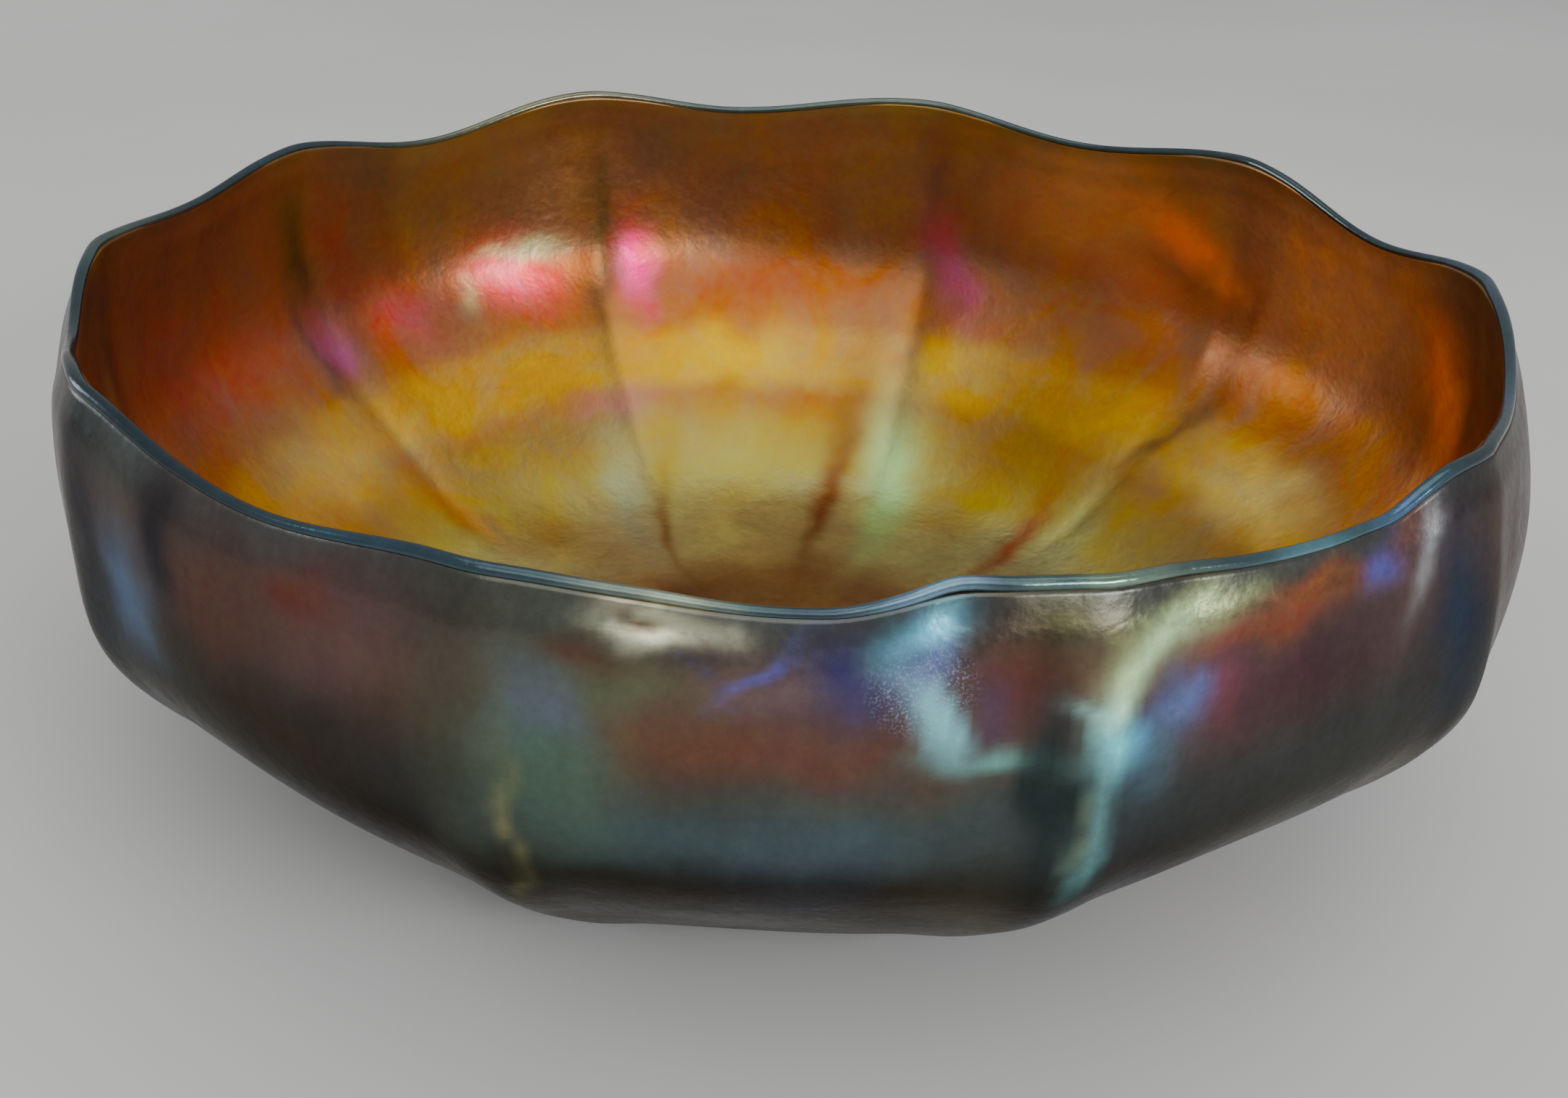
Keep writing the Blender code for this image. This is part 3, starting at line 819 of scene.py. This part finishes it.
def casing_glass(material):
    down = down_from_lip(OUTLINE)
    azimuth, fall = over_steps(down)
    pits = pits_at(azimuth, fall, BELLY[0], CASING_PITS)
    outside = face_points(OUTLINE, down, pits + lip_taper(fall))
    inner_rows = with_floor(layer_face(CASING_AT_LIP, CASING_AT_BASE))
    inner_down = np.concatenate([np.full(FLOOR_ROWS - 1, down[0]), down])
    inside = thinned(face_points(inner_rows, inner_down))
    under = foot_points()
    foot_down = np.full(len(under), down[0] + FOOT_LUSTRE_DOWN)
    colours = [
        lining_colour(*over_steps(thinned(inner_down)), inside),
        casing_colour(azimuth, fall, outside)[::-1],
        casing_colour(*over_steps(foot_down), under),
    ]
    low_cap = (0.0, 0.0, inner_rows[0, 1] + CAP_RISE)
    high_cap = (0.0, 0.0, RECESS_HEIGHT)
    mesh = closed_skin("casing_glass", [inside, outside[::-1], under], low_cap, high_cap, colours)
    place("casing_glass", mesh, material, "outer_casing", "outer_lustre")


def gold_lining(material):
    near_lip, near_base = CASING_AT_LIP + LAYER_GAP, CASING_AT_BASE + LAYER_GAP
    outline_down = down_from_lip(OUTLINE)
    work_down = np.concatenate([np.full(FLOOR_ROWS - 1, outline_down[0]), outline_down])
    gold_rows = with_floor(layer_face(near_lip + LINING_AT_LIP, near_base + LINING_AT_BASE))
    gold_rows = eased(gold_rows, LINING_EASING_PASSES)
    azimuth, fall = over_steps(down_from_lip(gold_rows))
    pits = pits_at(azimuth, fall, LINING_PIT_RADIUS, LINING_PITS)
    extra = -rib_grooves(azimuth, fall) - pits - lip_taper(fall)
    gold = face_points(gold_rows, work_down, extra, INNER_RIB_SHARE, INNER_RIB_ROUNDING)
    back_rows = with_floor(layer_face(near_lip, near_base))
    back = thinned(face_points(back_rows, work_down))
    shade = lining_colour(azimuth, fall, gold)
    low_cap = (0.0, 0.0, gold_rows[0, 1] + CAP_RISE)
    high_cap = (0.0, 0.0, back_rows[0, 1] + CAP_RISE)
    shades = [shade, thinned(shade)[::-1]]
    mesh = closed_skin("gold_lining", [gold, back[::-1]], low_cap, high_cap, shades)
    place("gold_lining", mesh, material, "inner_lining", "gold_lustre")


def lip_glass(material):
    """The fire-polished lip: an oval bead round the edge, thicker over the crests."""
    wall = CASING_AT_LIP + LAYER_GAP + LINING_AT_LIP
    crest = max(lift for _, lift in LIP_WAVE) * MM
    swell = 1.0 + BEAD_SWELL * lip_lift(AZIMUTHS) / crest
    edge_radius = np.full(STEPS_AROUND, LIP[0] - LIP_LEAN - wall / 2.0)
    edge_height = np.full(STEPS_AROUND, LIP[1])
    top_radius, top_height = shaped(edge_radius, edge_height, AZIMUTHS)
    work = wall_work(AZIMUTHS, np.zeros(STEPS_AROUND)) * MM
    top = top_height + BEAD_GAP + 2.0 * BEAD_RADIUS * swell
    top = top - max(0.0, top.max() * SCALE - bead_high.z)
    half_height = BEAD_HALF_HEIGHT * swell
    half_width = BEAD_RADIUS * swell * BEAD_SLIMNESS
    middle = top - half_height
    rings = []
    for side in range(BEAD_SIDES):
        angle = TAU * side / BEAD_SIDES
        out = top_radius - work + half_width * math.sin(angle)
        rings.append(turned_points(out, middle + half_height * math.cos(angle)))
    points = np.array(rings)
    azimuth, down = over_steps(np.zeros(BEAD_SIDES))
    shade = fallen(down, points, BEAD_FALL, BEAD_BAND_WANDER, BEAD_SEED)
    shade = over_patches(shade, azimuth, down, points, BEAD_PATCHES, BEAD_WANDER, BEAD_SEED)
    shade = toned(shade, BEAD_POWER).reshape(-1, 3)
    sides = np.arange(BEAD_SIDES)
    faces = quads_between(sides, (sides + 1) % BEAD_SIDES)
    mesh = painted_mesh("lip_glass", points.reshape(-1, 3), faces, shade)
    place("lip_glass", mesh, material, "lip_bead", "bead_lustre")


# ---------------------------------------------------------------- materials

class Nodes:
    """A short way to add nodes to one material and link them."""

    def __init__(self, name):
        self.material = bpy.data.materials.new(name)
        self.material.use_nodes = True
        self.tree = self.material.node_tree
        self.shader = self.tree.nodes["Principled BSDF"]
        self.place = self.add("ShaderNodeTexCoord").outputs["Object"]

    def add(self, kind, **values):
        node = self.tree.nodes.new(kind)
        for key, value in values.items():
            setattr(node, key, value)
        return node

    def link(self, source, target):
        self.tree.links.new(source, target)

    def feed(self, socket, value):
        if isinstance(value, bpy.types.NodeSocket):
            self.link(value, socket)
        else:
            socket.default_value = value

    def noise(self, scale, detail=3.0, roughness=0.55, stretch=None, distortion=0.0):
        """Noise over the object's own coordinates, with about scale features to the metre."""
        node = self.add("ShaderNodeTexNoise")
        node.inputs["Scale"].default_value = scale
        node.inputs["Detail"].default_value = detail
        node.inputs["Roughness"].default_value = roughness
        node.inputs["Distortion"].default_value = distortion
        source = self.place
        if stretch:
            mapping = self.add("ShaderNodeMapping")
            mapping.inputs["Scale"].default_value = stretch
            self.link(source, mapping.inputs["Vector"])
            source = mapping.outputs["Vector"]
        self.link(source, node.inputs["Vector"])
        return node.outputs["Fac"]

    def spread(self, value, taken, given):
        """Maps the taken range of a value, as (low, high), to the given range."""
        node = self.add("ShaderNodeMapRange")
        self.feed(node.inputs["Value"], value)
        node.inputs["From Min"].default_value, node.inputs["From Max"].default_value = taken
        node.inputs["To Min"].default_value, node.inputs["To Max"].default_value = given
        return node.outputs["Result"]

    def maths(self, operation, first, second):
        node = self.add("ShaderNodeMath", operation=operation)
        self.feed(node.inputs[0], first)
        self.feed(node.inputs[1], second)
        return node.outputs["Value"]

    def mix(self, share, first, second):
        """Mixes two colours. The colour sockets of a Mix node are found by their type."""
        node = self.add("ShaderNodeMix", data_type="RGBA")
        ends = [socket for socket in node.inputs if socket.type == "RGBA"]
        self.feed(node.inputs["Factor"], share)
        self.feed(ends[0], first)
        self.feed(ends[1], second)
        return next(socket for socket in node.outputs if socket.type == "RGBA")

    def bump(self, height, strength, distance, below=None):
        node = self.add("ShaderNodeBump")
        node.inputs["Strength"].default_value = strength
        node.inputs["Distance"].default_value = distance
        self.link(height, node.inputs["Height"])
        if below is not None:
            self.link(below, node.inputs["Normal"])
        return node.outputs["Normal"]


def tint(colour):
    return (*[float(x) for x in linear(colour)], 1.0)


def around(middle, reach):
    """The range that reaches equally far below and above a middle."""
    return (middle - reach, middle + reach)


# Where pale specks of painted glint lie under the brightest highlight, and how far they reach. The
# specks are full within a share of the reach.
GLINT_AZIMUTH = math.radians(172.4)
GLINT_OUT = 0.1270
GLINT_HEIGHT = 0.0795
GLINT_PLACE = (
    GLINT_OUT * math.sin(GLINT_AZIMUTH), GLINT_OUT * math.cos(GLINT_AZIMUTH), GLINT_HEIGHT,
)
GLINT_REACH = 0.0075
GLINT_FULL = 0.45
GLINT_COLOUR = (190, 214, 255)

# The three lustred finishes. Gain is brightness. Speck and streaks are how much grain and streaks
# lighten and darken, and hue_shift is how far the hue drifts. Pits lays pale specks of painted
# glint.
OUTER_FINISH = {
    "metallic": 0.88, "rough": (0.20, 0.36), "gain": 1.07, "speck": 0.10,
    "hue_shift": 0.018, "coat": 0.05, "streaks": 0.07, "pits": True,
}
GOLD_FINISH = {
    "metallic": 0.85, "rough": (0.32, 0.44), "gain": 1.0, "speck": 0.05,
    "hue_shift": 0.010, "coat": 0.03, "streaks": 0.02,
}
BEAD_FINISH = {
    "metallic": 0.80, "rough": (0.12, 0.26), "gain": 1.0, "speck": 0.10,
    "hue_shift": 0.030, "coat": 0.30, "streaks": 0.05,
}
COAT_ROUGHNESS = 0.18
EDGE_TINT = (0.5, 0.48, 0.46, 1.0)

BUTTON_DARK, BUTTON_PALE = (92, 52, 20), (150, 96, 44)
FLOOR_DARK, FLOOR_PALE = (196, 194, 190), (206, 204, 201)


def painted_glints(n, colour):
    """Pale specks of painted glint where pits catch the light, thickest at one worked spot."""
    away = n.add("ShaderNodeVectorMath", operation="DISTANCE")
    n.link(n.place, away.inputs[0])
    away.inputs[1].default_value = GLINT_PLACE
    full_to_none = (GLINT_FULL * GLINT_REACH, GLINT_REACH)
    near = n.spread(away.outputs["Value"], full_to_none, (1.0, 0.0))
    glints = n.spread(n.noise(2800.0, detail=2.0, roughness=0.6), (0.50, 0.68), (0.0, 0.42))
    return n.mix(n.maths("MULTIPLY", near, glints), colour, tint(GLINT_COLOUR))


def lustre_and_light(name, metallic, rough, gain, speck, hue_shift, coat, streaks, pits=False):
    """Iridised glass: painted lustre with painted light in it, broken up by mottling, fine specks,
    streaks and wear, and painted glints where pits is set.
    """
    n = Nodes(name)
    painted = n.add("ShaderNodeVertexColor", layer_name="lustre_and_light").outputs["Color"]
    mottle = n.noise(52.0, detail=4.0, roughness=0.6, distortion=0.6)
    grain = n.noise(620.0, roughness=0.7)
    streak = n.noise(190.0, roughness=0.6, stretch=(1.0, 1.0, 0.16))
    cloud = n.noise(120.0, detail=5.0, roughness=0.65, distortion=1.2)
    hsv = n.add("ShaderNodeHueSaturation")
    n.link(n.spread(cloud, (0.30, 0.70), around(0.5, hue_shift)), hsv.inputs["Hue"])
    n.link(n.spread(mottle, (0.30, 0.70), (0.90, 1.14)), hsv.inputs["Saturation"])
    broad = n.spread(mottle, (0.28, 0.72), (0.86, 1.14))
    value = n.maths("MULTIPLY", broad, n.spread(grain, (0.25, 0.75), around(1.0, speck)))
    value = n.maths("MULTIPLY", value, n.spread(streak, (0.3, 0.7), around(1.0, streaks)))
    n.link(n.maths("MULTIPLY", value, gain), hsv.inputs["Value"])
    n.link(painted, hsv.inputs["Color"])
    # With pits set, pale specks of painted glint are mixed into the colour.
    colour = painted_glints(n, hsv.outputs["Color"]) if pits else hsv.outputs["Color"]
    n.link(colour, n.shader.inputs["Base Color"])
    worn = n.maths("ADD", n.maths("MULTIPLY", mottle, 0.6), n.maths("MULTIPLY", grain, 0.4))
    n.link(n.spread(worn, (0.35, 0.65), rough), n.shader.inputs["Roughness"])
    n.shader.inputs["Metallic"].default_value = metallic
    n.shader.inputs["Coat Weight"].default_value = coat
    n.shader.inputs["Coat Roughness"].default_value = COAT_ROUGHNESS
    n.shader.inputs["Specular Tint"].default_value = EDGE_TINT
    fine = n.bump(n.noise(900.0, detail=2.0, roughness=0.5), strength=0.10, distance=0.0004)
    peel = n.noise(210.0, detail=2.0, roughness=0.5, distortion=0.4)
    skin = n.bump(peel, strength=0.22, distance=0.0006, below=fine)
    n.link(skin, n.shader.inputs["Normal"])
    return n.material


def amber_button(name):
    """Plain amber glass with swirls, for the button in the pontil recess."""
    n = Nodes(name)
    swirl = n.noise(140.0, detail=4.0, roughness=0.6, distortion=2.0)
    shade = n.mix(n.spread(swirl, (0.35, 0.65), (0.0, 1.0)), tint(BUTTON_DARK), tint(BUTTON_PALE))
    n.link(shade, n.shader.inputs["Base Color"])
    n.link(n.spread(swirl, (0.3, 0.7), (0.10, 0.24)), n.shader.inputs["Roughness"])
    skin = n.bump(n.noise(420.0), strength=0.2, distance=0.0004)
    n.link(skin, n.shader.inputs["Normal"])
    n.shader.inputs["Coat Weight"].default_value = 0.4
    return n.material


def pale_floor_material():
    n = Nodes("pale_floor")
    cloudy = n.noise(3.0, roughness=0.5)
    shade = n.mix(n.spread(cloudy, (0.3, 0.7), (0.0, 1.0)), tint(FLOOR_DARK), tint(FLOOR_PALE))
    n.link(shade, n.shader.inputs["Base Color"])
    n.link(n.spread(n.noise(40.0), (0.3, 0.7), (0.55, 0.7)), n.shader.inputs["Roughness"])
    return n.material


# ---------------------------------------------------------------- stage

# The camera at the photo's viewing angle: its place in metres, tilt, roll, lens and sensor.
CAMERA_PLACE = Vector((0.0002, -0.28365, 0.1815))
CAMERA_PITCH = math.radians(28.1)
CAMERA_ROLL = math.radians(2.2)
CAMERA_LENS = 37.17
CAMERA_SENSOR = 36.0
CAMERA_CLIP_START = 0.01

FLOOR_HALF = 3.0
SKY_COLOUR = (0.93, 0.96, 1.0, 1.0)
SKY_STRENGTH = 0.50

# Soft boxes that all face the bowl: (name, place, width, height, power in watts, colour).
LIGHTS = (
    ("overhead", (0.1, 0.2, 1.5), 1.4, 1.2, 6.0, (1.0, 0.98, 0.95)),
    ("above_front", (0.0, -1.0, 1.35), 1.7, 1.1, 8.5, (1.0, 0.99, 0.97)),
    ("window", (1.0, -1.0, 0.62), 0.8, 0.5, 16.0, (0.94, 0.98, 1.0)),
    ("side", (-1.4, 0.5, 0.5), 0.5, 0.7, 6.0, (0.94, 0.97, 1.0)),
)


def camera():
    data = bpy.data.cameras.new("photo_view")
    data.sensor_width = CAMERA_SENSOR
    data.lens = CAMERA_LENS
    data.clip_start = CAMERA_CLIP_START
    item = bpy.data.objects.new("photo_view", data)
    bpy.context.scene.collection.objects.link(item)
    tilt = Matrix.Rotation(math.pi / 2.0 - CAMERA_PITCH, 4, "X")
    roll = Matrix.Rotation(CAMERA_ROLL, 4, "Z")
    item.matrix_world = Matrix.Translation(CAMERA_PLACE * SCALE) @ tilt @ roll
    bpy.context.scene.camera = item


def softbox(name, place, width, height, power, colour, target):
    data = bpy.data.lights.new(name, "AREA")
    data.shape = "RECTANGLE"
    data.size = width
    data.size_y = height
    data.energy = power
    data.color = colour
    item = bpy.data.objects.new(name, data)
    item.location = place
    item.rotation_mode = "QUATERNION"
    item.rotation_quaternion = (target - Vector(place)).to_track_quat("-Z", "Y")
    bpy.context.scene.collection.objects.link(item)


def stage():
    half = FLOOR_HALF
    corners = [(-half, -half, 0), (half, -half, 0), (half, half, 0), (-half, half, 0)]
    mesh = bpy.data.meshes.new("floor")
    mesh.from_pydata(corners, [], [(0, 1, 2, 3)])
    mesh.materials.append(pale_floor_material())
    ground = bpy.data.objects.new("floor", mesh)
    ground.location.z = cad_low.z
    bpy.context.scene.collection.objects.link(ground)
    world = bpy.data.worlds.new("studio")
    world.use_nodes = True
    back = world.node_tree.nodes["Background"]
    back.inputs["Color"].default_value = SKY_COLOUR
    back.inputs["Strength"].default_value = SKY_STRENGTH
    bpy.context.scene.world = world
    for light in LIGHTS:
        softbox(*light, target=(cad_low + cad_high) / 2.0)


def main():
    casing_glass(lustre_and_light("outer_lustre", **OUTER_FINISH))
    gold_lining(lustre_and_light("gold_lustre", **GOLD_FINISH))
    lip_glass(lustre_and_light("bead_lustre", **BEAD_FINISH))
    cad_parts["pontil_button"].data.materials[0] = amber_button("amber_button")
    camera()
    stage()


main()
